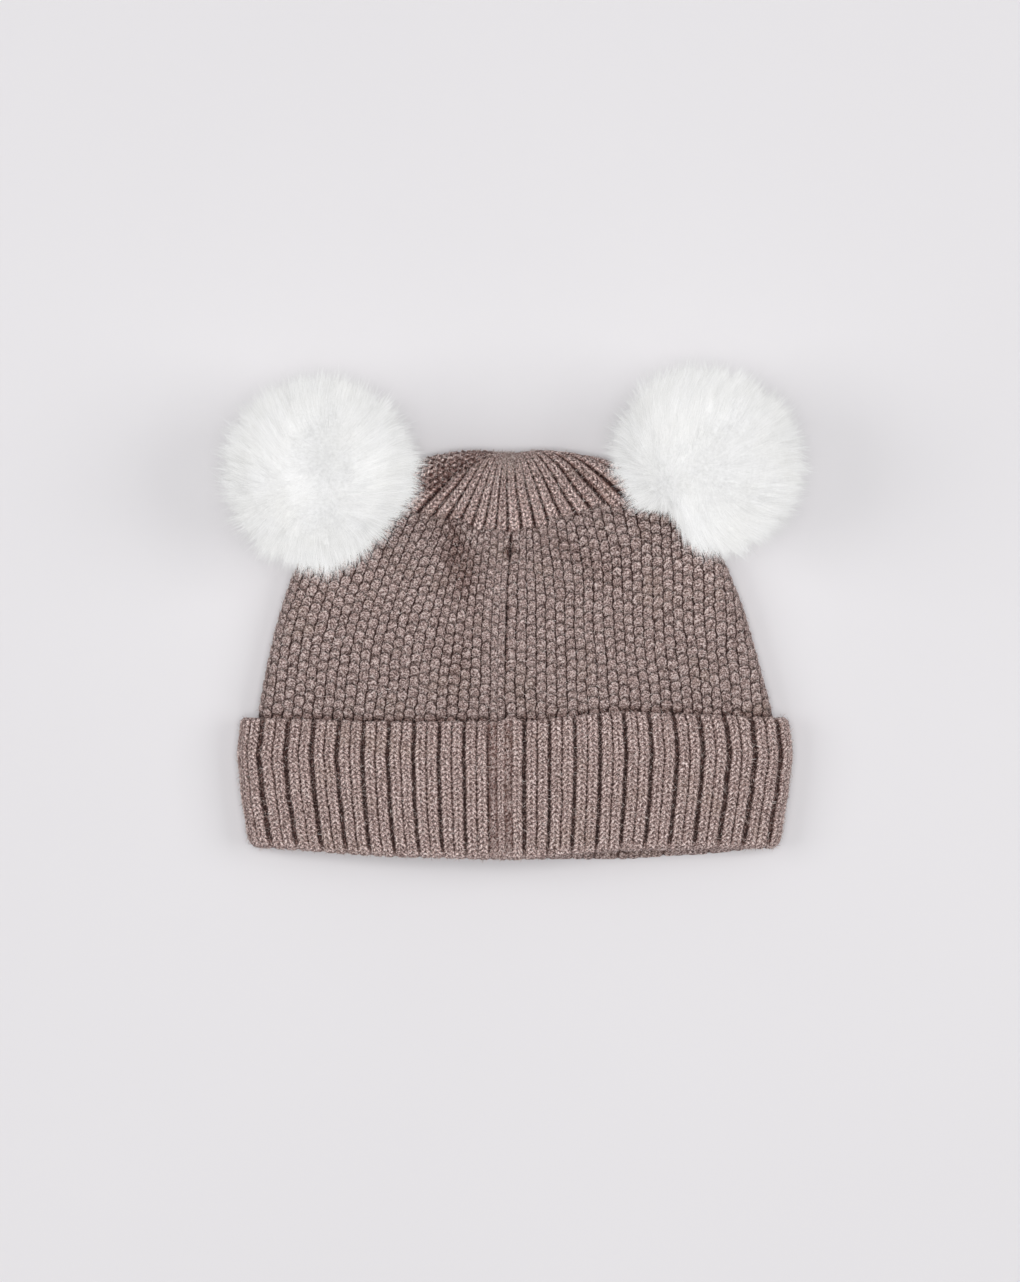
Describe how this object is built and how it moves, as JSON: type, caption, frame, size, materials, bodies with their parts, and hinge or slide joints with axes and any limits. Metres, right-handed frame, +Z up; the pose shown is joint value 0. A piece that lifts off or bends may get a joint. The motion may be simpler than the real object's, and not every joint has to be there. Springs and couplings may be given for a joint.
{
  "type": "pom-pom hat",
  "caption": "Soft knitted child's cap lying flat: seed-stitch crown gathered at the top, a turned-up ribbed cuff, and a round fur pompom on each upper corner.",
  "frame": {"origin": "middle of the hat's footprint on the surface that it lies on", "axes": "+X to the wearer-side right when the seam side faces up, +Y from the open brim to the crown, +Z up out of the seam side"},
  "size_m": [0.208, 0.1777, 0.068],
  "materials": {
    "seed_knit": "taupe melange wool blend in seed stitch, matt and slightly fuzzy",
    "rib_knit": "the same yarn in 2 by 2 rib, matt and slightly fuzzy",
    "faux_fur": "long white faux fur, soft and slightly glossy along the hairs"
  },
  "bodies": {
    "root": {"crown": "seed_knit", "cuff": "rib_knit", "pompom_left": "faux_fur", "pompom_right": "faux_fur"}
  },
  "joints": []
}
